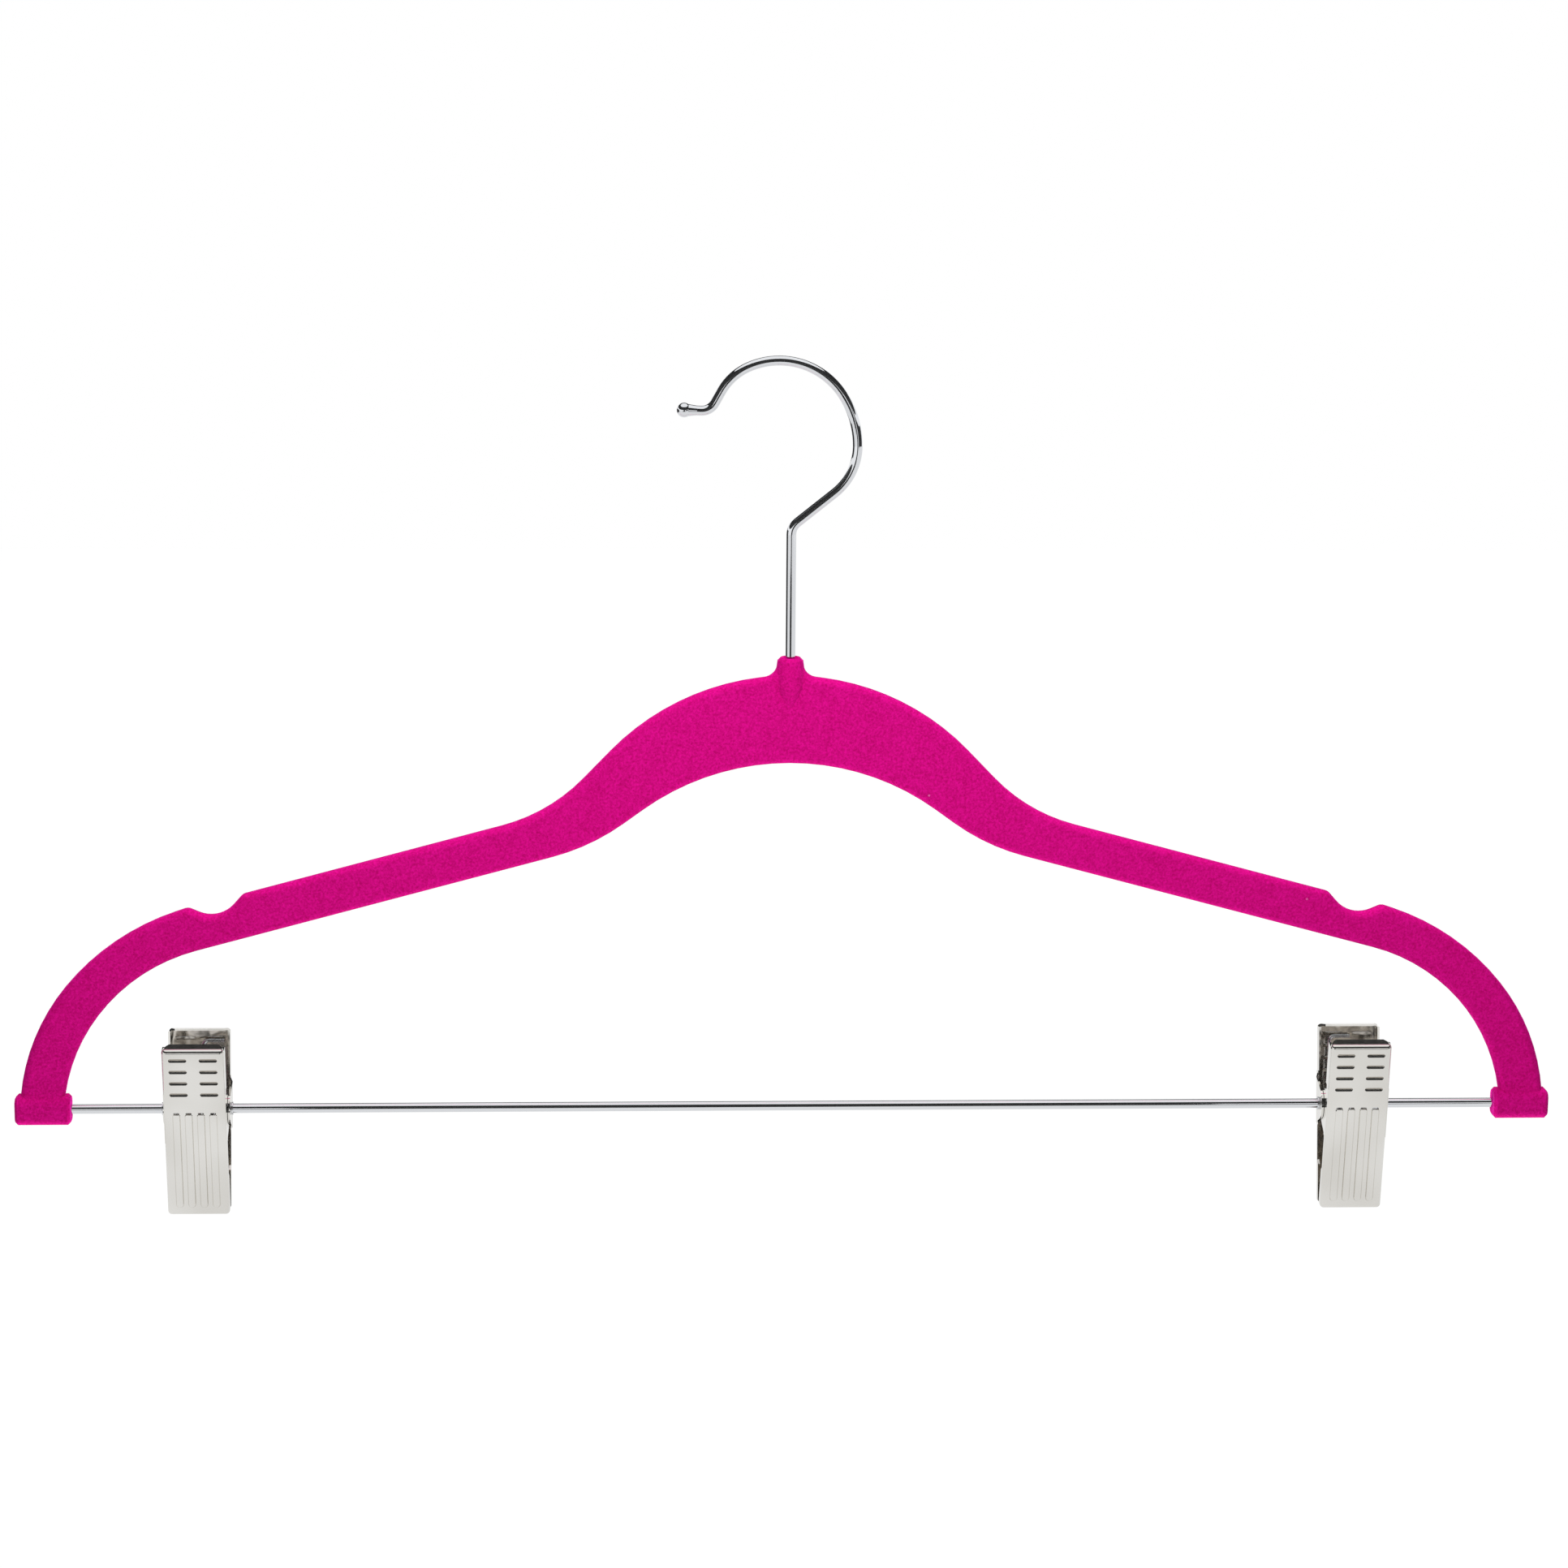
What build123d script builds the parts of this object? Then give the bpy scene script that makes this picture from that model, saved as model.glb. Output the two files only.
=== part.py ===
from math import acos, asin, atan2, ceil, cos, degrees, pi, radians, sin, sqrt, tan
import os

from build123d import *

os.makedirs("parts", exist_ok=True)

# The origin is the point of the hook's inside arc straight above the shank,
# where a closet rail carries the hanger. X runs along the bar, Z is up, and
# the front faces -Y. Heights below are measured from the bar's centre line.

# Clearances
slide_fit = 0.05
turn_fit = 0.05
ear_gap = 0.10
loose_gap = 0.30
lip_gap = 0.10

# Moulded body
body_width = 445.0
body_thickness = 5.0
edge_round = 2.0
arch_rise = 34.45
arch_depth = 25.2
arch_radius = 71.0
arch_end_angle = 46.0
inner_arch_end_angle = 36.0
arm_slope = 15.0
arm_width = 12.5
arm_low_height = 92.55
outer_sweep_radius = 50.0
inner_sweep_radius = 62.0
shoulder_start_inset = 47.2
shoulder_mid_inset = 15.2
shoulder_mid_share = 0.622
inner_curve_inset = 53.0

# Strap notch in each shoulder
notch_inset = 66.4
notch_floor_inset = 59.5
notch_depth = 5.9
notch_crest = 0.25
notch_crest_inset = 50.7
notch_lip_round = 2.4
notch_floor_round = 8.6
notch_crest_round = 2.5

# End sockets that hold the bar
socket_length = 15.9
socket_height = 8.6
socket_thickness = 7.6
socket_round = 2.6
socket_end_chamfer = 0.8
socket_bore_depth = 9.5
arm_end_inset = 1.3
arm_end_width = 12.5

# Neck that holds the hook
neck_height = 5.4
neck_radius = 3.7
neck_web_drop = 1.4
neck_web_width = 7.4
neck_flare = 4.2
neck_flare_reach = 9.0
neck_boss_radius = 4.25
neck_boss_rise = 0.5
neck_boss_depth = 3.2
neck_tail_depth = 9.5
neck_tail_radius = 2.2
neck_lip_round = 0.9
mouth_radius = 2.7
mouth_depth = 1.5

# Hook wire
wire_radius = 1.4
hook_shank_rise = 40.6
hook_bend_radius = 4.3
hook_bend_angle = 51.3
hook_slant_length = 13.4
hook_lower_radius = 17.1
hook_side_radius = 26.2
hook_side_angle = 33.2
hook_top_radius = 21.4
hook_top_angle = 81.0
hook_back_radius = 16.2
hook_back_angle = 36.5
hook_tip_run = 3.8
hook_tip_radius = 4.1
hook_tip_angle = 63.0
hook_tip_length = 4.8
ball_radius = 2.1
ball_blend = 3.6
ball_blend_share = 0.9
head_radius = 2.3
head_height = 1.6
head_depth = 4.2

# Trouser bar
bar_radius = 1.4
bar_end_chamfer = 0.3

# Clips
left_clip_inset = 52.2
right_clip_inset = 57.2
sheet = 0.6
clip_width = 17.8
jaw_half_angle = 9.8
jaw_half_depth = 9.2
jaw_above = 21.1
jaw_below = 31.6
flange_depth = 4.4
fold_round = 1.3
plate_corner = 1.1
inner_corner = 0.5
lip_mitre = 1.3
lip_mitre_depth = 0.8

# Ears on the pivot
ear_radius = 4.5
ear_root_above = 7.1
ear_root_below = 8.6
ear_relief = 2.9
ear_bend_step = 0.25
ear_bend_run = 2.2
side_window_depth = 2.0
side_window_low = 19.0
cheek_depth = 3.2

# Pivot sleeve, a hollow rivet that the bar runs through
sleeve_wall = 0.30
sleeve_flare = 0.15
sleeve_flare_length = 0.35
sleeve_reach = 0.60

# Louvres lanced in the upper half of each jaw, their tongues bent inward
louvre_rows = 4
louvre_pitch = 3.60
louvre_first = 3.2
louvre_columns = 8.7
louvre_width = 5.2
louvre_height = 1.1
louvre_depth = 0.85
louvre_skin = 0.40
louvre_side = 0.25

# Ribs pressed in the lower half of each jaw
rib_count = 4
rib_pitch = 3.5
rib_width = 2.3
rib_start_above = 1.4
rib_end_above_tip = 2.6
rib_lift = 0.35
rib_taper = 35.0
rib_slit_width = 1.7
rib_slit_height = 0.6

# Torsion springs
spring_wire_radius = 0.60
spring_gap = 0.60
spring_turns = 2
spring_tip_length = 4.6
spring_rear_tip_length = 6.0
spring_tip_bend = 1.6
spring_tip_below_top = 3.6
left_spring_offset = 1.1
right_spring_offset = -5.6

# Sizes that follow from the ones above
end_x = body_width / 2
arm_rise = arm_width / cos(radians(arm_slope))
socket_inner_x = end_x - socket_length
arch_top = arm_low_height + arch_rise
neck_top = arch_top + neck_height
neck_web_height = neck_top - neck_web_drop
neck_boss_top = arch_top + neck_boss_rise
neck_boss_low = arch_top - neck_boss_depth
neck_tail_height = arch_top - neck_tail_depth
head_bottom = arch_top - head_depth
hook_bend_height = arch_top + hook_shank_rise
left_clip_x = left_clip_inset - end_x
right_clip_x = end_x - right_clip_inset
hook_offset = (
    (hook_bend_radius + hook_lower_radius) * (1 - cos(radians(hook_bend_angle)))
    + hook_slant_length * sin(radians(hook_bend_angle))
    - hook_side_radius
    + (hook_side_radius - hook_top_radius) * cos(radians(hook_side_angle))
)
hook_centre_height = (
    hook_bend_height
    + (hook_bend_radius + hook_lower_radius) * sin(radians(hook_bend_angle))
    + hook_slant_length * cos(radians(hook_bend_angle))
    + (hook_side_radius - hook_top_radius) * sin(radians(hook_side_angle))
)
rail_height = hook_centre_height + sqrt((hook_top_radius - wire_radius) ** 2 - hook_offset**2)
bar_z = -rail_height
lean = radians(jaw_half_angle)
plate_out = jaw_half_depth * cos(lean)
plate_level = jaw_half_depth * sin(lean)
plate_top = plate_level + jaw_above
plate_bottom = plate_level - jaw_below
plate_mid = (plate_top + plate_bottom) / 2
plate_length = plate_top - plate_bottom
tongue_back_drop = louvre_height * (louvre_depth + louvre_skin - sheet) / louvre_depth
tip_lip_depth = plate_out - (lip_gap / 2 - plate_bottom * sin(lean)) / cos(lean)
sleeve_bore = bar_radius + slide_fit
sleeve_radius = sleeve_bore + sleeve_wall
ear_hole = sleeve_radius + turn_fit
ear_joggle = sheet + ear_gap
coil_radius = sleeve_radius + loose_gap + spring_wire_radius
coil_pitch = 2 * spring_wire_radius + spring_gap


def arm_top(x):
    """Height of the arm's upper edge."""
    return arm_low_height + arm_rise - x * tan(radians(arm_slope))


def arm_low(x):
    """Height of the arm's lower edge."""
    return arm_low_height - x * tan(radians(arm_slope))


def corner_with_arm(point, angle, edge_height):
    """Where a line falling at an angle from a point meets an edge of the arm."""
    run = (point[1] - edge_height(point[0])) / (tan(radians(angle)) - tan(radians(arm_slope)))
    return (point[0] + run, edge_height(point[0] + run))


def arc_point(top, angle):
    """Point on the arch's arc, by its angle from the crown."""
    return (
        arch_radius * sin(radians(angle)),
        top - arch_radius * (1 - cos(radians(angle))),
    )


# Moulded body: arch, arms and shoulders as one outline, then sockets and neck
shank_bore = wire_radius + turn_fit
pocket_radius = head_radius + loose_gap
pocket_bottom = head_bottom - loose_gap
pocket_top = head_bottom + head_height + loose_gap
bar_end_x = socket_inner_x + socket_bore_depth - loose_gap
window_top = plate_level - ear_root_below
window_low = plate_level - side_window_low
window_slant = cheek_depth - side_window_depth
ear_relief_top = plate_level + ear_root_above + loose_gap
bar_plane = Plane(origin=(0, 0, bar_z), x_dir=(1, 0, 0), z_dir=(0, -1, 0))
arch_low = arch_top - arch_depth
flare_angle = degrees(acos(sqrt(1 - (neck_flare_reach / arch_radius) ** 2)))
flare_end = arc_point(arch_top, flare_angle)
flare_corner = (
    neck_web_width / 2,
    flare_end[1] + (neck_flare_reach - neck_web_width / 2) * tan(radians(flare_angle)),
)
crown_end = arc_point(arch_top, arch_end_angle)
inner_crown_end = arc_point(arch_low, inner_arch_end_angle)
notch_start = end_x - notch_inset
notch_floor = end_x - notch_floor_inset
crest_x = end_x - notch_crest_inset
shoulder_start = end_x - shoulder_start_inset
shoulder_mid = (end_x - shoulder_mid_inset, shoulder_mid_share * arm_top(shoulder_start))
arm_end_out = (end_x - arm_end_inset, 0)
arm_end_in = (end_x - arm_end_inset - arm_end_width, 0)
curve_start = (end_x - inner_curve_inset, arm_low(end_x - inner_curve_inset))

with BuildPart() as socket:
    with BuildSketch(Plane(origin=(socket_inner_x, 0, bar_z), x_dir=(0, 1, 0), z_dir=(1, 0, 0))):
        RectangleRounded(socket_thickness, socket_height, socket_round)
    extrude(amount=socket_length)
    chamfer(socket.faces().filter_by(Axis.X).edges(), socket_end_chamfer)

with BuildPart() as hanger_body:
    with BuildSketch(bar_plane):
        with BuildLine():
            Line((0, neck_web_height), (neck_web_width / 2, neck_web_height))
            FilletPolyline(
                (neck_web_width / 2, neck_web_height),
                flare_corner,
                flare_end,
                radius=neck_flare,
            )
            CenterArc(
                (0, arch_top - arch_radius),
                arch_radius,
                90 - flare_angle,
                flare_angle - arch_end_angle,
            )
            upper = FilletPolyline(
                crown_end,
                corner_with_arm(crown_end, arch_end_angle, arm_top),
                (notch_start, arm_top(notch_start)),
                (notch_floor, arm_top(notch_floor) - notch_depth),
                (crest_x, arm_top(crest_x) + notch_crest),
                (shoulder_start, arm_top(shoulder_start)),
                radius=[outer_sweep_radius, notch_lip_round, notch_floor_round, notch_crest_round],
            )
            shoulder = TangentArc(upper @ 1, shoulder_mid, tangent=upper % 1)
            TangentArc(shoulder_mid, arm_end_out, tangent=shoulder % 1)
            Line(arm_end_out, arm_end_in)
            TangentArc(
                curve_start,
                arm_end_in,
                tangent=(cos(radians(arm_slope)), -sin(radians(arm_slope))),
            )
            FilletPolyline(
                curve_start,
                corner_with_arm(inner_crown_end, inner_arch_end_angle, arm_low),
                inner_crown_end,
                radius=inner_sweep_radius,
            )
            CenterArc(
                (0, arch_low - arch_radius),
                arch_radius,
                90 - inner_arch_end_angle,
                inner_arch_end_angle,
            )
            mirror(about=Plane.YZ)
        make_face()
    extrude(amount=body_thickness / 2, both=True)
    outline_edges = hanger_body.faces().filter_by(Axis.Y).edges()
    fillet(outline_edges, edge_round)
    add(socket.part)
    mirror(socket.part, about=Plane.YZ)
    for side in (-1, 1):
        with BuildSketch(Plane(origin=(side * socket_inner_x, 0, bar_z), z_dir=(side, 0, 0))):
            Circle(bar_radius + slide_fit)
        extrude(amount=socket_bore_depth, mode=Mode.SUBTRACT)
    with BuildSketch(bar_plane):
        with BuildLine():
            Polyline(
                (0, neck_tail_height),
                (neck_tail_radius, neck_tail_height),
                (neck_boss_radius, neck_boss_low),
                (neck_boss_radius, neck_boss_top),
                (neck_radius, neck_top - neck_lip_round),
                (neck_radius - neck_lip_round, neck_top),
                (0, neck_top),
                close=True,
            )
        make_face()
    revolve(axis=Axis.Z)
    with BuildSketch(bar_plane):
        with BuildLine():
            Polyline(
                (0, neck_top),
                (mouth_radius, neck_top),
                (shank_bore, neck_top - mouth_depth),
                (shank_bore, pocket_top),
                (pocket_radius, pocket_top),
                (pocket_radius, pocket_bottom),
                (0, pocket_bottom),
                close=True,
            )
        make_face()
    revolve(axis=Axis.Z, mode=Mode.SUBTRACT)
hanger_body.part.label = "hanger_body"
export_step(hanger_body.part, "parts/hanger_body.step")


# Hook: one bent wire with a ball on its tip and an upset head on its shank
with BuildPart() as hook:
    with BuildLine(bar_plane) as hook_path:
        shank = Line((0, head_bottom), (0, hook_bend_height))
        bend = JernArc(shank @ 1, shank % 1, hook_bend_radius, -hook_bend_angle)
        slant = PolarLine(bend @ 1, hook_slant_length, direction=bend % 1)
        lower = JernArc(slant @ 1, slant % 1, hook_lower_radius, hook_bend_angle)
        rise = JernArc(lower @ 1, lower % 1, hook_side_radius, hook_side_angle)
        crown = JernArc(rise @ 1, rise % 1, hook_top_radius, hook_top_angle)
        back = JernArc(crown @ 1, crown % 1, hook_back_radius, hook_back_angle)
        run = PolarLine(back @ 1, hook_tip_run, direction=back % 1)
        turn = JernArc(run @ 1, run % 1, hook_tip_radius, -hook_tip_angle)
        tip = PolarLine(turn @ 1, hook_tip_length, direction=turn % 1)
    with BuildSketch(Plane(origin=hook_path.line @ 0, z_dir=hook_path.line % 0)):
        Circle(wire_radius)
    sweep(path=hook_path.line)
    with BuildSketch(Plane.XY.offset(bar_z + head_bottom)):
        Circle(head_radius)
    extrude(amount=head_height)
    ball_plane = Plane(origin=hook_path.line @ 1, z_dir=hook_path.line % 1)
    with Locations(ball_plane):
        Sphere(ball_radius)
    with Locations(ball_plane.offset(-ball_blend)):
        Cone(
            wire_radius,
            ball_radius * ball_blend_share,
            ball_blend,
            align=(Align.CENTER, Align.CENTER, Align.MIN),
        )
hook.part.label = "hook"
export_step(hook.part, "parts/hook.step")


# Trouser bar: a straight wire whose ends sit in the sockets
with BuildPart() as trouser_bar:
    with BuildSketch(Plane(origin=(-bar_end_x, 0, bar_z), z_dir=(1, 0, 0))):
        Circle(bar_radius)
    extrude(amount=2 * bar_end_x)
    chamfer(trouser_bar.edges().filter_by(GeomType.CIRCLE), bar_end_chamfer)
trouser_bar.part.label = "trouser_bar"
export_step(trouser_bar.part, "parts/trouser_bar.step")


# Clips. Each jaw is a stamping described on its own plate: u runs across it,
# v runs up it from the foot of the perpendicular to the bar, n points outward.
def jaw_planes(clip_x, side):
    """The jaw's face plane (u, v), its side plane (n, v) and its section plane (u, n)."""
    centre = (clip_x, 0, bar_z)
    across = (-side, 0, 0)
    outward = (0, side * cos(lean), -sin(lean))
    upward = (0, side * sin(lean), cos(lean))
    down = tuple(-a for a in upward)
    inward_side = tuple(-a for a in across)
    return (
        Plane(origin=centre, x_dir=across, z_dir=outward),
        Plane(origin=centre, x_dir=outward, z_dir=inward_side),
        Plane(origin=centre, x_dir=across, z_dir=down),
    )


def make_ears(clip_x, side, joggle):
    """Two ears that reach from the jaw's edges round the pivot, bent outward by any joggle."""
    side_view, section = jaw_planes(clip_x, side)[1:]
    half = clip_width / 2
    root = plate_out - sheet
    bend_start = ear_radius + ear_relief
    bend_end = bend_start - ear_bend_run
    with BuildPart() as ears:
        with BuildSketch(section):
            with BuildLine():
                Polyline(
                    (half, root),
                    (half, bend_start),
                    (half + joggle, bend_end),
                    (half + joggle, -ear_radius),
                    (half + joggle - sheet, -ear_radius),
                    (half + joggle - sheet, bend_end - ear_bend_step),
                    (half - sheet, bend_start - ear_bend_step),
                    (half - sheet, root),
                    close=True,
                )
            make_face()
            mirror(about=Plane.YZ)
        extrude(amount=plate_length, both=True)
        with BuildSketch(side_view):
            Circle(ear_radius)
            with BuildLine():
                Line(
                    (root, plate_level - ear_root_below),
                    (root, plate_level + ear_root_above),
                )
            make_hull()
        extrude(amount=clip_width, both=True, mode=Mode.INTERSECT)
        with BuildSketch(side_view):
            Circle(ear_hole)
        extrude(amount=clip_width, both=True, mode=Mode.SUBTRACT)
    return ears.part


def make_jaw(name, clip_x, side, joggle):
    """One stamped jaw: a folded pan with lips, louvres, ribs, side windows and ears."""
    face, side_view, section = jaw_planes(clip_x, side)
    half = clip_width / 2
    ears = make_ears(clip_x, side, joggle)
    louvre_places = [
        (column * louvre_columns / 2, plate_top - louvre_first - row * louvre_pitch)
        for column in (-1, 1)
        for row in range(louvre_rows)
    ]
    rib_top = plate_level + rib_start_above
    rib_length = rib_top - plate_bottom - rib_end_above_tip
    rib_places = [((i - (rib_count - 1) / 2) * rib_pitch, rib_top) for i in range(rib_count)]
    with BuildPart() as jaw:
        with BuildSketch(face.offset(plate_out)):
            with Locations((0, plate_mid)):
                RectangleRounded(clip_width, plate_length, plate_corner)
        extrude(amount=-flange_depth)
        fillet(jaw.faces().sort_by(Axis(face.origin, face.z_dir))[-1].edges(), fold_round)
        with BuildSketch(face.offset(plate_out - sheet)):
            with Locations((0, plate_mid)):
                RectangleRounded(clip_width - 2 * sheet, plate_length - 2 * sheet, inner_corner)
        extrude(amount=-flange_depth, mode=Mode.SUBTRACT)
        with BuildSketch(side_view):
            with BuildLine():
                Polyline(
                    (plate_out - side_window_depth, window_top),
                    (plate_out - side_window_depth, window_low),
                    (plate_out - cheek_depth, window_low - window_slant),
                    (plate_out - cheek_depth, plate_bottom + sheet),
                    (plate_out - tip_lip_depth, plate_bottom + sheet),
                    (plate_out - tip_lip_depth, plate_bottom - sheet),
                    (0, plate_bottom - sheet),
                    (0, ear_relief_top),
                    (plate_out - ear_relief, ear_relief_top),
                    (plate_out - ear_relief, window_top),
                    close=True,
                )
            make_face()
        extrude(amount=clip_width, both=True, mode=Mode.SUBTRACT)
        with BuildSketch(face.offset(plate_out - sheet)):
            with Locations(*louvre_places):
                SlotOverall(louvre_width, louvre_height)
        extrude(amount=sheet, mode=Mode.SUBTRACT)
        for column, middle in louvre_places:
            slit = middle + louvre_height / 2
            with BuildSketch(side_view.offset(side_view.z_dir.dot(face.x_dir) * column)):
                with BuildLine():
                    Polyline(
                        (plate_out - louvre_depth, slit),
                        (plate_out - louvre_depth - louvre_skin, slit),
                        (plate_out - sheet, slit - tongue_back_drop),
                        (plate_out - sheet, slit - louvre_height),
                        (plate_out, slit - louvre_height),
                        close=True,
                    )
                make_face()
            extrude(amount=louvre_width / 2 + louvre_side, both=True)
        with BuildSketch(face.offset(plate_out)):
            with Locations(*rib_places):
                with Locations((0, -rib_length / 2)):
                    SlotOverall(rib_length, rib_width, rotation=90)
        extrude(amount=rib_lift, taper=rib_taper)
        with BuildSketch(face.offset(plate_out - sheet)):
            with Locations(*rib_places):
                with Locations((0, -rib_length / 2)):
                    SlotOverall(rib_length - 2 * rib_lift, rib_width - 2 * rib_lift, rotation=90)
        extrude(amount=rib_lift, mode=Mode.SUBTRACT)
        with BuildSketch(face.offset(plate_out - sheet)):
            with Locations(*rib_places):
                with Locations((0, -rib_slit_height / 2)):
                    SlotOverall(rib_slit_width, rib_slit_height)
        extrude(amount=sheet + rib_lift, mode=Mode.SUBTRACT)
        for edge in (-1, 1):
            with BuildSketch(section.offset(-plate_top)):
                with BuildLine():
                    Polyline(
                        (edge * half, plate_out - flange_depth),
                        (edge * (half - lip_mitre - sheet), plate_out - flange_depth),
                        (edge * half, plate_out - fold_round),
                        close=True,
                    )
                make_face()
            extrude(amount=lip_mitre_depth, mode=Mode.SUBTRACT)
        add(ears)
    jaw.part.label = name
    export_step(jaw.part, f"parts/{name}.step")


def make_sleeve(name, clip_x):
    """Hollow rivet that pins the four ears together, flared at both ends."""
    reach = clip_width / 2 + ear_joggle + sleeve_reach
    with BuildPart() as sleeve:
        with BuildSketch(Plane(origin=(clip_x, 0, bar_z), x_dir=(1, 0, 0), z_dir=(0, -1, 0))):
            with BuildLine():
                Polyline(
                    (-reach, sleeve_bore),
                    (reach, sleeve_bore),
                    (reach, sleeve_radius + sleeve_flare),
                    (reach - sleeve_flare_length, sleeve_radius + sleeve_flare),
                    (reach - sleeve_flare_length - sleeve_flare, sleeve_radius),
                    (-reach + sleeve_flare_length + sleeve_flare, sleeve_radius),
                    (-reach + sleeve_flare_length, sleeve_radius + sleeve_flare),
                    (-reach, sleeve_radius + sleeve_flare),
                    close=True,
                )
            make_face()
        revolve(axis=Axis((clip_x, 0, bar_z), (1, 0, 0)))
    sleeve.part.label = name
    export_step(sleeve.part, f"parts/{name}.step")


def biarc(start, start_way, end, end_way):
    """Two tangent arcs from one point and direction to another, or a line where both lie on one."""
    chord = end - start
    chord_way = chord.normalized()
    if chord_way.cross(start_way).length < 1e-6 and chord_way.cross(end_way).length < 1e-6:
        return [Line(start, end)]
    both = start_way + end_way
    spread = 2 * (1 - start_way.dot(end_way))
    reach = chord.dot(chord) / (2 * chord.dot(both))
    if spread > 1e-9:
        reach = (sqrt(chord.dot(both) ** 2 + spread * chord.dot(chord)) - chord.dot(both)) / spread
    first_corner = start + start_way * reach
    last_corner = end - end_way * reach
    middle = (first_corner + last_corner) / 2
    return [
        TangentArc(start, middle, tangent=start_way),
        TangentArc(middle, end, tangent=(last_corner - first_corner).normalized()),
    ]


def spring_stations(clip_x, offset):
    """Points and directions along the wire: rear tip, rear leg, coil, front leg, front tip."""
    tip_n = plate_out - louvre_depth - louvre_skin - spring_wire_radius - loose_gap
    tip_v = plate_top - spring_tip_below_top
    tip_y = tip_n * cos(lean) + tip_v * sin(lean)
    tip_z = tip_v * cos(lean) - tip_n * sin(lean)
    lean_out = atan2(tip_y, tip_z) - asin(coil_radius / sqrt(tip_y**2 + tip_z**2))
    sweep_angle = pi - 2 * lean_out + 2 * pi * spring_turns
    rise = Vector(0, sin(lean_out), cos(lean_out))
    start_x = clip_x + offset
    end_x_coil = start_x + coil_pitch * sweep_angle / (2 * pi)
    rear_tip = Vector(start_x, tip_y, bar_z + tip_z)
    front_tip = Vector(end_x_coil, -tip_y, bar_z + tip_z)
    stations = [
        (rear_tip + Vector(spring_rear_tip_length, 0, 0), Vector(-1, 0, 0)),
        (rear_tip + Vector(spring_tip_bend, 0, 0), Vector(-1, 0, 0)),
        (rear_tip - rise * spring_tip_bend, rise * -1),
        (Vector(start_x, coil_radius * cos(lean_out), bar_z - coil_radius * sin(lean_out)), rise * -1),
    ]
    steps = ceil(sweep_angle / (pi / 2))
    for i in range(1, steps):
        swept = sweep_angle * i / steps
        angle = -lean_out - swept
        place = Vector(
            start_x + coil_pitch * swept / (2 * pi),
            coil_radius * cos(angle),
            bar_z + coil_radius * sin(angle),
        )
        way = Vector(coil_pitch / (2 * pi), coil_radius * sin(angle), -coil_radius * cos(angle))
        stations.append((place, way.normalized()))
    fall = Vector(0, -sin(lean_out), cos(lean_out))
    stations += [
        (Vector(end_x_coil, -coil_radius * cos(lean_out), bar_z - coil_radius * sin(lean_out)), fall),
        (front_tip - fall * spring_tip_bend, fall),
        (front_tip - Vector(spring_tip_bend, 0, 0), Vector(-1, 0, 0)),
        (front_tip - Vector(spring_tip_length, 0, 0), Vector(-1, 0, 0)),
    ]
    return stations


def least_gap(wire, radius):
    """Least gap between turns, from points along the wire that are over one coil width apart."""
    count = 600
    points = [wire @ (i / count) for i in range(count + 1)]
    apart = int(count * 4 * coil_radius / wire.length)
    nearest = min(
        (points[i] - points[j]).length for i in range(count + 1) for j in range(i + apart, count + 1)
    )
    return nearest - 2 * radius


def make_spring(name, clip_x, offset):
    """Torsion spring: one unbroken wire, coiled round the sleeve, its legs pushing the handles."""
    stations = spring_stations(clip_x, offset)
    with BuildPart() as spring:
        with BuildLine() as wire:
            for (start, start_way), (end, end_way) in zip(stations, stations[1:]):
                biarc(start, start_way, end, end_way)
        route = wire.wire()
        with BuildSketch(Plane(origin=route @ 0, z_dir=route % 0)):
            Circle(spring_wire_radius)
        sweep(path=route)
    spring.part.label = name
    export_step(spring.part, f"parts/{name}.step")
    print(
        name,
        "wire length", round(route.length, 2),
        "least gap", round(least_gap(route, spring_wire_radius), 3),
        "volume over section times length",
        round(spring.part.volume / (pi * spring_wire_radius**2 * route.length), 4),
    )


for clip, clip_x, offset in (
    ("left", left_clip_x, left_spring_offset),
    ("right", right_clip_x, right_spring_offset),
):
    make_jaw(f"{clip}_front_jaw", clip_x, -1, 0)
    make_jaw(f"{clip}_rear_jaw", clip_x, 1, ear_joggle)
    make_sleeve(f"{clip}_pivot_sleeve", clip_x)
    make_spring(f"{clip}_spring", clip_x, offset)
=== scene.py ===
import bpy
import numpy as np
from mathutils import Matrix, Vector


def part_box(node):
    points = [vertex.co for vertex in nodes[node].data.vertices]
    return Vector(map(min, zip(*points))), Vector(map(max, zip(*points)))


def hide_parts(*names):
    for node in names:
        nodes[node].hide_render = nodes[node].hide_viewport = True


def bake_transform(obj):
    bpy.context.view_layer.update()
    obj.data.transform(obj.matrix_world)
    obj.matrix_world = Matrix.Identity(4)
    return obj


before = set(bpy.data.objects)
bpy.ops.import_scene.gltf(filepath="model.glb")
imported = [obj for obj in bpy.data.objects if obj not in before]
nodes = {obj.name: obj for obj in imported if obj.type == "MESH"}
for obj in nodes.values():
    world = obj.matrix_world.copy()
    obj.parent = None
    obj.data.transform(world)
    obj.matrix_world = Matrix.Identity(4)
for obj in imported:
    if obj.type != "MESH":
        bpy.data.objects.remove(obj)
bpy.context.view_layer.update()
print("frame loaded:", len(nodes), "nodes")

mm = 0.001
sides = ("left", "right")


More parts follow.
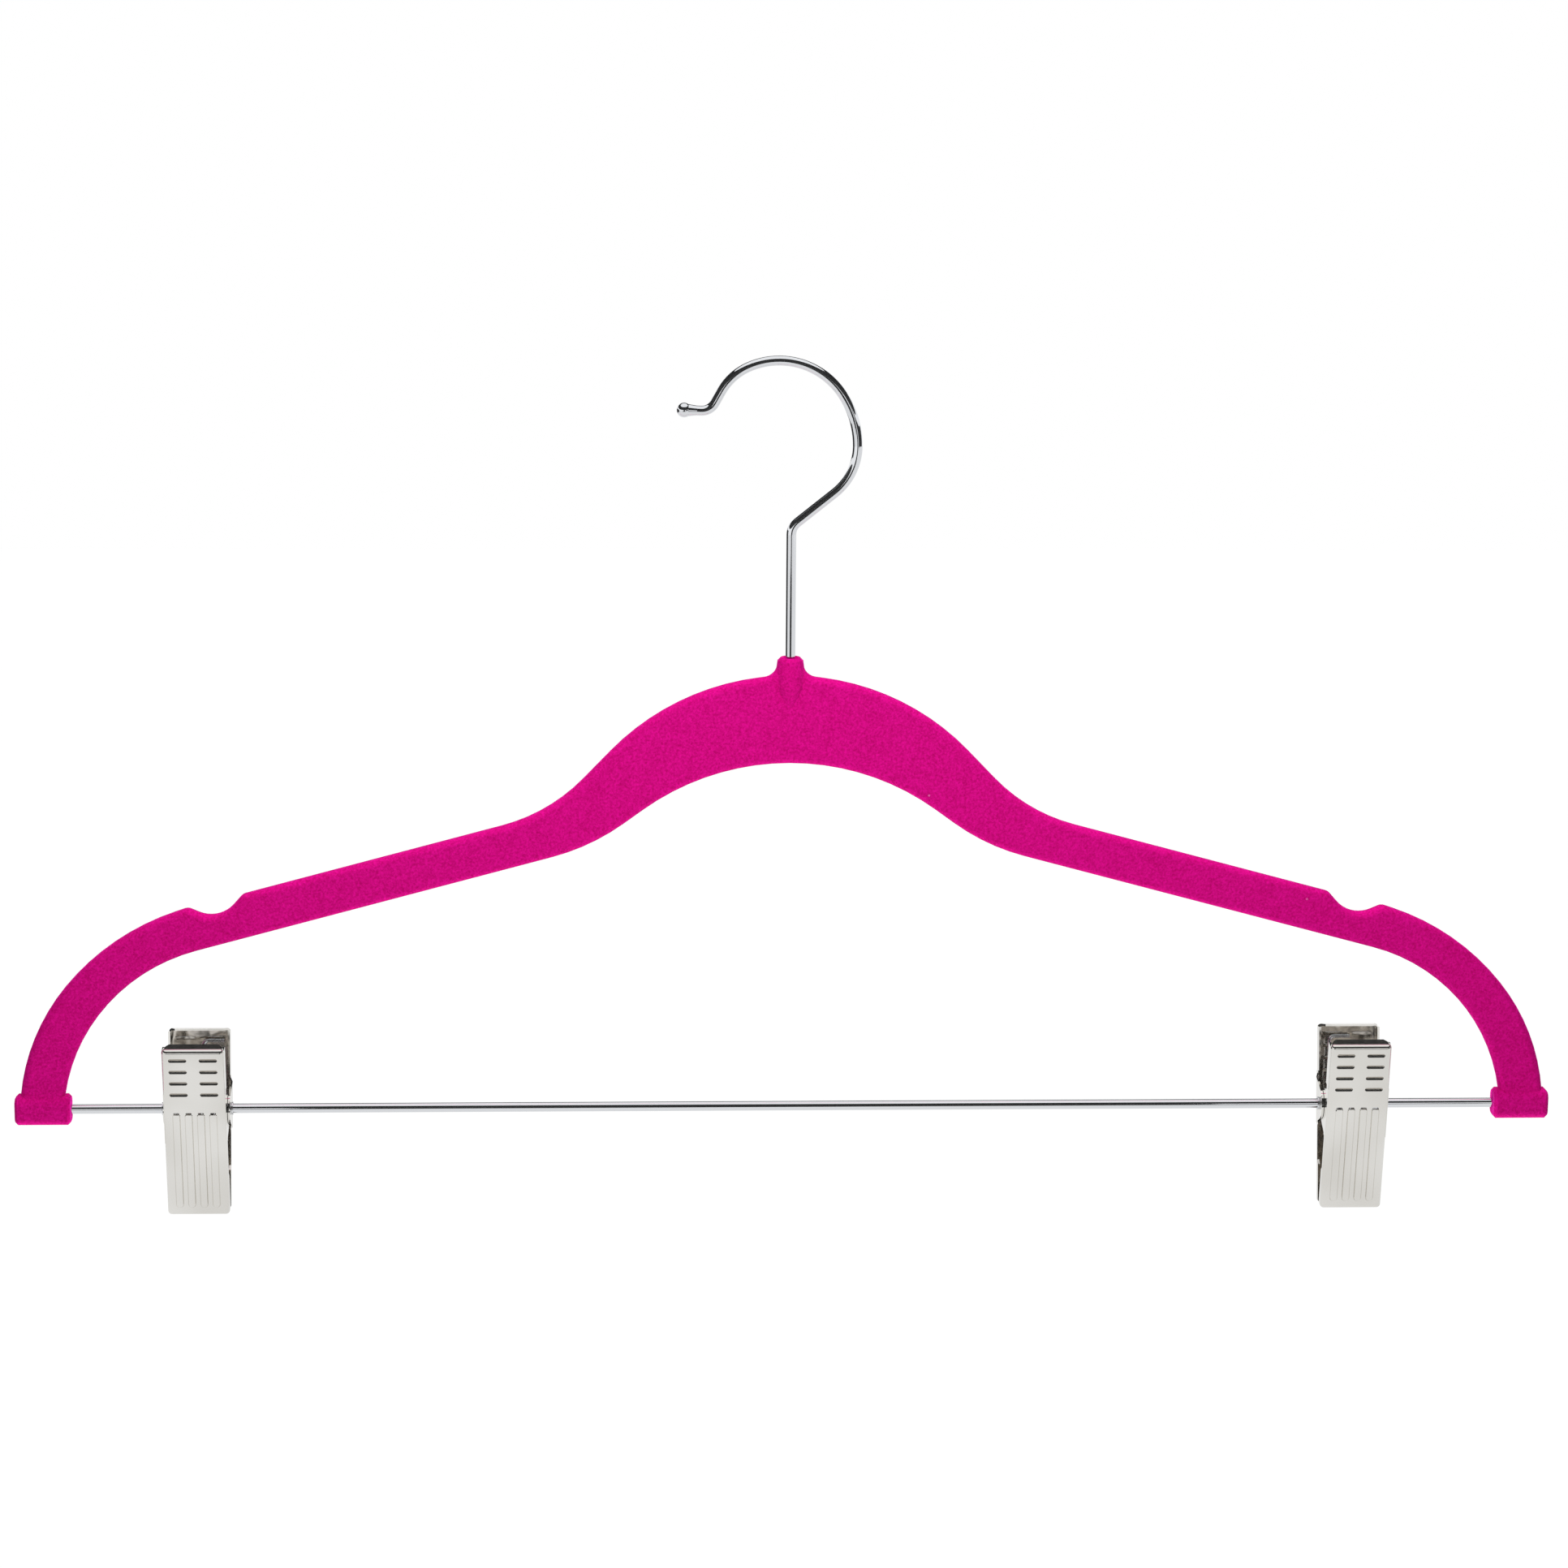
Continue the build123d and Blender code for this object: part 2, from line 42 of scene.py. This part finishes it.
# A shader socket that can be used in sums, products and comparisons
class Wire:
    def __init__(self, tree, socket):
        self.tree = tree
        self.socket = socket

    def math(self, operation, other=None, third=None):
        node = self.tree.nodes.new("ShaderNodeMath")
        node.operation = operation
        for place, value in enumerate((self, other, third)):
            if value is None:
                continue
            if isinstance(value, Wire):
                self.tree.links.new(value.socket, node.inputs[place])
            else:
                node.inputs[place].default_value = value
        return Wire(self.tree, node.outputs[0])

    def __add__(self, other):
        return self.math("ADD", other)

    def __radd__(self, other):
        return self.math("ADD", other)

    def __sub__(self, other):
        return self.math("SUBTRACT", other)

    def __rsub__(self, other):
        return self.math("MULTIPLY_ADD", -1.0, other)

    def __mul__(self, other):
        return self.math("MULTIPLY", other)

    def __rmul__(self, other):
        return self.math("MULTIPLY", other)

    def __gt__(self, other):
        return self.math("GREATER_THAN", other)

    def __lt__(self, other):
        return self.math("LESS_THAN", other)


# The nodes of a material or of the world. Every new one but a Math node comes from node()
class Nodes:
    def __init__(self, tree):
        self.tree = tree

    def node(self, kind, settings=None, values=None, out=0):
        made = self.tree.nodes.new(kind)
        for key, value in (settings or {}).items():
            setattr(made, key, value)
        for key, value in (values or {}).items():
            if isinstance(value, Wire):
                self.tree.links.new(value.socket, made.inputs[key])
            else:
                made.inputs[key].default_value = value
        return Wire(self.tree, made.outputs[out])

    def place(self):
        return self.node("ShaderNodeTexCoord", out="Object")

    # A noise is given as its scale in waves to the metre, its detail and its roughness
    def noise(self, form, at=None):
        scale, detail, rough = form
        values = {"Vector": at or self.place(), "Scale": scale, "Detail": detail, "Roughness": rough}
        return self.node("ShaderNodeTexNoise", values=values)

    # A value between two old limits becomes one between two new ones
    def range(self, value, old, new=(0.0, 1.0)):
        limits = {"From Min": old[0], "From Max": old[1], "To Min": new[0], "To Max": new[1]}
        return self.node("ShaderNodeMapRange", {"clamp": True}, {"Value": value, **limits})

    def parts(self, vector):
        split = self.node("ShaderNodeSeparateXYZ", values={0: vector}).socket.node
        return [Wire(self.tree, out) for out in split.outputs]

    # Inputs 6 and 7 and output 2 of the Mix node are its two colours and its colour result
    def mixColour(self, share, first, second):
        pair = [value if isinstance(value, Wire) else (*value, 1.0) for value in (first, second)]
        values = {0: share, 6: pair[0], 7: pair[1]}
        return self.node("ShaderNodeMix", {"data_type": "RGBA"}, values, out=2)

    # A bump is given as its height in metres and its strength
    def bump(self, height, form, under=None):
        distance, strength = form
        values = {"Height": height, "Distance": distance, "Strength": strength}
        if under:
            values["Normal"] = under
        return self.node("ShaderNodeBump", values=values)

    # Whether a ray comes from the camera, and whether it comes from a mirror or through glass
    def rays(self):
        seen = self.node("ShaderNodeLightPath", out="Is Camera Ray")
        mirrored = self.node("ShaderNodeLightPath", out="Is Glossy Ray")
        through = self.node("ShaderNodeLightPath", out="Is Transmission Ray")
        return seen, mirrored.math("MAXIMUM", through)


# A new material with its main shader
class Finish(Nodes):
    def __init__(self, name):
        self.material = bpy.data.materials.new(name)
        self.material.use_nodes = True
        super().__init__(self.material.node_tree)
        self.shader = self.tree.nodes["Principled BSDF"]

    def set(self, **inputs):
        names = {
            "colour": "Base Color",
            "rough": "Roughness",
            "metal": "Metallic",
            "normal": "Normal",
            "sheen": "Sheen Weight",
            "sheenRough": "Sheen Roughness",
            "sheenTint": "Sheen Tint",
            "gloss": "Specular IOR Level",
        }
        for key, value in inputs.items():
            socket = self.shader.inputs[names[key]]
            if isinstance(value, Wire):
                self.tree.links.new(value.socket, socket)
            elif isinstance(value, tuple):
                socket.default_value = (*value, 1.0)
            else:
                socket.default_value = value
        return self.material


# Camera, as it stood for the photograph
camera = {
    "place": (-0.05287, -1.17265, 0.13008),
    "right": (0.99908, -0.04215, 0.007455),
    "up": (0.0014786, 0.20804, 0.97812),
    "lens": 96.38,
    "sensor": 36.0,
    "nearest": 0.01,
}


def makeCamera(setup):
    lens = bpy.data.cameras.new("camera")
    lens.lens = setup["lens"]
    lens.sensor_width = setup["sensor"]
    lens.clip_start = setup["nearest"]
    right = Vector(setup["right"]).normalized()
    up = Vector(setup["up"]).normalized()
    back = right.cross(up).normalized()
    up = back.cross(right)
    turn = Matrix((right, up, back)).transposed().to_4x4()
    obj = bpy.data.objects.new("camera", lens)
    obj.matrix_world = Matrix.Translation(setup["place"]) @ turn
    bpy.context.collection.objects.link(obj)
    bpy.context.scene.camera = obj


makeCamera(camera)
print("camera set")


def dress(name, material):
    for slot in nodes[name].material_slots:
        slot.material = material


# Flocked body. The grain is the pile's own, the patches are where it lies another way, and the dust
# is a speck of lint in a few of the cells, with its radii as shares of a cell
flock = {
    "colour": (0.64, 0.0032, 0.200),
    "colourShare": 0.45,
    "deep": (0.36, 0.0009, 0.079),
    "bright": (0.92, 0.0070, 0.365),
    "tones": (0.34, 0.66),
    "grain": (1500.0, 3.0, 0.7),
    "grainShare": 0.86,
    "grainBump": (0.30 * mm, 0.7),
    "patch": (260.0, 3.0, 0.6),
    "patchBump": (0.12 * mm, 0.3),
    "dustColour": (0.86, 0.22, 0.55),
    "dustShare": 0.5,
    "dustCells": 150.0,
    "dustRadii": (0.03, 0.06),
    "dustPlaces": (95.0, 0.0, 0.5),
    "dustLimit": 0.66,
    "rough": 0.95,
    "gloss": 0.05,
    "sheen": 0.9,
    "sheenRough": 0.30,
    "sheenTint": (1.0, 0.05, 0.58),
}


def dustMask(made, look, at):
    cells = {"Vector": at, "Scale": look["dustCells"], "Randomness": 1.0}
    reach = made.node("ShaderNodeTexVoronoi", {"feature": "F1"}, cells, out="Distance")
    chosen = made.noise(look["dustPlaces"], at) > look["dustLimit"]
    return made.range(reach, look["dustRadii"], (1.0, 0.0)) * chosen


def flockFinish(look):
    made = Finish("flock")
    at = made.place()
    grain = made.noise(look["grain"], at)
    patch = made.noise(look["patch"], at)
    pile = grain * look["grainShare"] + patch * (1 - look["grainShare"])
    colour = made.mixColour(made.range(pile, look["tones"]), look["deep"], look["bright"])
    colour = made.mixColour(look["colourShare"], colour, look["colour"])
    dust = dustMask(made, look, at) * look["dustShare"]
    colour = made.mixColour(dust, colour, look["dustColour"])
    skin = made.bump(grain, look["grainBump"])
    skin = made.bump(patch, look["patchBump"], skin)
    return made.set(
        colour=colour,
        normal=skin,
        rough=look["rough"],
        gloss=look["gloss"],
        sheen=look["sheen"],
        sheenRough=look["sheenRough"],
        sheenTint=look["sheenTint"],
    )


dress("hanger_body", flockFinish(flock))
print("body dressed")

# Chrome wire of the hook and the bar, with faint streaks along the drawn wire. The streaks are one
# noise, stretched to these waves to the metre across and along the wire
chrome = {
    "colour": (0.77, 0.785, 0.81),
    "rough": (0.04, 0.07),
    "cloud": (130.0, 2.0, 0.5),
    "cloudTones": (0.35, 0.7),
    "streak": (1.0, 2.0, 0.5),
    "streakAcross": 900.0,
    "streakAlong": 14.0,
    "streakBump": (0.012 * mm, 0.35),
}


# The wire runs along the axis of that number: 0, 1 or 2 for x, y or z
def chromeFinish(name, look, axis):
    made = Finish(name)
    stretch = [look["streakAcross"]] * 3
    stretch[axis] = look["streakAlong"]
    at = made.node("ShaderNodeMapping", values={"Vector": made.place(), "Scale": stretch})
    streak = made.noise(look["streak"], at)
    cloud = made.noise(look["cloud"])
    rough = made.range(cloud, look["cloudTones"], look["rough"])
    normal = made.bump(streak, look["streakBump"])
    return made.set(colour=look["colour"], metal=1.0, rough=rough, normal=normal)


dress("hook", chromeFinish("hookChrome", chrome, 2))
dress("trouser_bar", chromeFinish("barChrome", chrome, 0))
print("wires dressed")

# Nickel-plated clips. The lean, halfDepth, above and below are those of the jaw's plate in the part.
# The inner side's painted shade, a darker colour, and its ripple start at skin under the plate's outer
# face and at flange inside its edges
nickel = {
    "colour": (0.84, 0.828, 0.795),
    "shade": (0.71, 0.692, 0.65),
    # The inner side's colour, darker than the outer one, is painted shade
    "inside": (0.56, 0.525, 0.48),
    "rough": (0.10, 0.16),
    "roughTones": (0.3, 0.7),
    "wave": (48.0, 1.5, 0.45),
    "waveTones": (0.3, 0.75),
    "waveBump": (0.05 * mm, 0.6),
    "fine": (500.0, 2.0, 0.6),
    "fineShare": 0.4,
    "fineBump": (0.004 * mm, 0.5),
    "ripple": (125.0, 1.5, 0.5),
    "rippleBump": (0.9 * mm, 0.8),
    "lean": np.radians(9.8),
    "halfDepth": 9.2 * mm,
    "above": 21.1 * mm,
    "below": 31.6 * mm,
    "skin": 0.35 * mm,
    "flange": 0.75 * mm,
}


# The bar's centre line, from the bar's own box
def barHeight():
    low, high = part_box("trouser_bar")
    return (low.z + high.z) / 2


# One on the jaw's inner side, between its flanges and lips, and nought elsewhere: there the colour is
# painted shade and the ripple goes. Both directions start at the bar: outward is square to the plate,
# and upward lies along it
def insideMask(made, look, at, side, facing):
    low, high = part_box(f"{side}_front_jaw")
    sine, cosine = np.sin(look["lean"]), np.cos(look["lean"])
    halfLength = (look["above"] + look["below"]) / 2
    middle = look["halfDepth"] * sine + look["above"] - halfLength
    x, y, z = made.parts(at)
    rise = z - barHeight()
    outward = y * (facing * cosine) - rise * sine
    upward = y * (facing * sine) + rise * cosine
    fromPlateMiddle = (upward - middle).math("ABSOLUTE")
    fromClipMiddle = (x - (low.x + high.x) / 2).math("ABSOLUTE")
    mask = outward < (look["halfDepth"] * cosine - look["skin"])
    mask = mask * (fromClipMiddle < ((high.x - low.x) / 2 - look["flange"]))
    return mask * (fromPlateMiddle < (halfLength - look["flange"]))


# The inner side is painted darker, as painted shade, and is more rippled than the outer one
def nickelFinish(name, look, side, facing):
    made = Finish(name)
    at = made.place()
    wave = made.noise(look["wave"], at)
    fine = made.noise(look["fine"], at)
    ripple = made.noise(look["ripple"], at)
    inside = insideMask(made, look, at, side, facing)
    colour = made.mixColour(made.range(wave, look["waveTones"]), look["colour"], look["shade"])
    # Painted shade: the inner side takes the darker colour
    colour = made.mixColour(inside, colour, look["inside"])
    cloud = fine * look["fineShare"] + wave * (1 - look["fineShare"])
    rough = made.range(cloud, look["roughTones"], look["rough"])
    skin = made.bump(wave, look["waveBump"])
    skin = made.bump(fine, look["fineBump"], skin)
    skin = made.bump(ripple * inside, look["rippleBump"], skin)
    return made.set(colour=colour, metal=1.0, rough=rough, normal=skin)


for side in sides:
    for jaw, facing in (("front", -1), ("rear", 1)):
        finish = nickelFinish(f"{side}{jaw.title()}Nickel", nickel, side, facing)
        dress(f"{side}_{jaw}_jaw", finish)
print("clips dressed")

# Spring wire, whose finish the pivot sleeves share. The coil reaches coilHalf before and behind the bar
spring = {
    "colour": (0.86, 0.875, 0.90),
    "worn": (0.74, 0.755, 0.78),
    "rough": (0.20, 0.34),
    "cloud": (420.0, 3.0, 0.6),
    "cloudTones": (0.3, 0.7),
    "cloudBump": (0.01 * mm, 0.4),
    "coilHalf": 3.5 * mm,
}


def springFinish(look):
    made = Finish("springSteel")
    cloud = made.noise(look["cloud"])
    rough = made.range(cloud, look["cloudTones"], look["rough"])
    colour = made.mixColour(made.range(cloud, look["cloudTones"]), look["colour"], look["worn"])
    normal = made.bump(cloud, look["cloudBump"])
    return made.set(colour=colour, metal=1.0, rough=rough, normal=normal)


# A copy of the spring's mesh, in the spring steel finish, takes the place of the spring node, which is
# hidden
def liveSpring(side, material):
    node = f"{side}_spring"
    piece = bpy.data.objects.new(f"{side}SpringWire", nodes[node].data.copy())
    bpy.context.collection.objects.link(piece)
    piece.data.materials.clear()
    piece.data.materials.append(material)
    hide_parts(node)
    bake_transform(piece)


springSteel = springFinish(spring)
for side in sides:
    liveSpring(side, springSteel)
    dress(f"{side}_pivot_sleeve", springSteel)
print("springs dressed")

# Studio: white surroundings, dark shapes that show in reflections alone, and soft lamps.
# A board is its start and end angle in degrees, from the front towards the right, and its lower and
# upper height. The boards give the wires their fine dark lines.
# A lamp is its name, its place, the point that it faces, its width and height, and its watts
studio = {
    "white": 1.0,
    "ambient": 0.22,
    "floorHeight": -0.75,
    "floorSize": 9.0,
    "floorColour": (0.86, 0.86, 0.86),
    "floorRough": 0.8,
    "floorGlow": 1.13,
    "floorMirrored": 0.86,
    "floorShare": 0.86,
    "darkTone": 0.09,
    "darkRadius": 1.7,
    "bandSteps": 96,
    "bandHigh": 2.0,
    "bandFront": 0.11,
    "bandBack": 0.67,
    "boardSteps": 5,
    "boards": (
        (-23.0, -9.0, -0.72, -0.33),
        (-9.0, 12.5, -0.72, 0.11),
        (12.5, 19.0, -0.72, -0.33),
        (-150.0, -82.0, -0.72, 0.11),
        (22.0, 112.0, -0.27, 0.11),
    ),
    "lamps": (
        ("keyLamp", (-0.02, -0.44, 0.18), (0.0, 0.0, -0.07), (0.32, 0.22), 2.3),
        ("frontLamp", (0.0, -0.45, -0.70), (0.0, 0.0, -0.10), (0.9, 0.3), 1.0),
        ("topLamp", (0.0, 0.12, 0.75), (0.0, 0.0, -0.10), (0.9, 0.25), 5.0),
        ("lowLamp", (0.0, 0.10, -0.72), (0.0, 0.0, -0.10), (0.9, 0.25), 5.0),
        ("backLamp", (0.4, 1.1, 1.2), (0.0, 0.0, -0.12), (1.2, 0.8), 8.0),
    ),
}


# The camera and mirrors see white, and the part is lit by a weaker glow
def whiteWorld(look):
    world = bpy.data.worlds.new("surroundings")
    bpy.context.scene.world = world
    world.use_nodes = True
    made = Nodes(world.node_tree)
    white = (1.0, 1.0, 1.0, 1.0)
    lighting = made.tree.nodes["Background"]
    lighting.inputs["Color"].default_value = white
    lighting.inputs["Strength"].default_value = look["ambient"]
    shown = made.node("ShaderNodeBackground", values={"Color": white, "Strength": look["white"]})
    seen, mirrored = made.rays()
    share = seen.math("MAXIMUM", mirrored)
    values = {0: share, 1: Wire(made.tree, lighting.outputs[0]), 2: shown}
    mix = made.node("ShaderNodeMixShader", values=values)
    made.tree.links.new(mix.socket, made.tree.nodes["World Output"].inputs["Surface"])


# A mesh over a grid of points, rows by columns, one four-sided face to each cell
def gridMesh(name, points, closed=False):
    rows, columns = points.shape[:2]
    index = np.arange(rows * columns).reshape(rows, columns)
    if closed:
        index = np.concatenate([index, index[:, :1]], axis=1)
    corners = np.stack([index[:-1, :-1], index[:-1, 1:], index[1:, 1:], index[1:, :-1]], axis=-1)
    mesh = bpy.data.meshes.new(name)
    mesh.from_pydata(points.reshape(-1, 3).tolist(), [], corners.reshape(-1, 4).tolist())
    obj = bpy.data.objects.new(name, mesh)
    bpy.context.collection.objects.link(obj)
    return obj


# Level square about the middle, at the floor's height. It glows white to the camera and a little
# less in mirrors, and keeps part of its shadow
def makeFloor(look):
    half = look["floorSize"] / 2
    x, y = np.meshgrid([-half, half], [-half, half])
    floor = gridMesh("floor", np.stack([x, y, np.full_like(x, look["floorHeight"])], axis=-1))
    made = Finish("floorWhite")
    made.set(colour=look["floorColour"], rough=look["floorRough"])
    seen, mirrored = made.rays()
    tone = mirrored * (look["floorMirrored"] - look["floorGlow"]) + look["floorGlow"]
    glow = made.node("ShaderNodeEmission", values={"Color": tone})
    share = seen * look["floorShare"] + mirrored
    values = {0: share, 1: Wire(made.tree, made.shader.outputs[0]), 2: glow}
    mix = made.node("ShaderNodeMixShader", values=values)
    made.tree.links.new(mix.socket, made.tree.nodes["Material Output"].inputs["Surface"])
    floor.data.materials.append(made.material)


def showInReflectionsAlone(thing, tone):
    made = Finish(thing.name)
    made.set(colour=(tone, tone, tone), rough=1.0, gloss=0.0)
    thing.data.materials.append(made.material)
    thing.visible_camera = False
    thing.visible_shadow = False
    thing.visible_diffuse = False


# Points on a circle about the middle: the radius times the cosine and the sine of the angle
def ringPoints(radius, angle):
    return radius * np.stack([np.cos(angle), np.sin(angle)], axis=-1)


# Upright ring round the part. Its top edge is level. Its lower edge goes from one height in front
# to another behind, by the share (1 + sine of the angle) / 2
def makeBand(look):
    angle = np.linspace(0, 2 * np.pi, look["bandSteps"], endpoint=False)
    behind = (1 + np.sin(angle)) / 2
    low = look["bandFront"] + (look["bandBack"] - look["bandFront"]) * behind
    ring = ringPoints(look["darkRadius"], angle)
    rows = [np.column_stack([ring, height]) for height in (low, np.full_like(low, look["bandHigh"]))]
    showInReflectionsAlone(gridMesh("darkBand", np.stack(rows), closed=True), look["darkTone"])


# Upright boards, each a stretch of the ring between its two angles and its two heights
def makeBoards(look):
    for index, (start, end, low, high) in enumerate(look["boards"]):
        angle = np.radians(np.linspace(start, end, look["boardSteps"]) - 90)
        ring = ringPoints(look["darkRadius"], angle)
        rows = [np.column_stack([ring, np.full(len(ring), height)]) for height in (low, high)]
        showInReflectionsAlone(gridMesh(f"darkBoard{index}", np.stack(rows)), look["darkTone"])


def areaLamp(name, place, target, size, watts):
    lamp = bpy.data.lights.new(name, "AREA")
    lamp.shape = "RECTANGLE"
    lamp.size, lamp.size_y = size
    lamp.energy = watts
    obj = bpy.data.objects.new(name, lamp)
    obj.location = place
    obj.rotation_euler = (Vector(target) - Vector(place)).to_track_quat("-Z", "Y").to_euler()
    obj.visible_glossy = False
    bpy.context.collection.objects.link(obj)


whiteWorld(studio)
makeFloor(studio)
makeBand(studio)
makeBoards(studio)
for lamp in studio["lamps"]:
    areaLamp(*lamp)
bpy.context.scene.view_settings.view_transform = "Standard"
print("studio set")
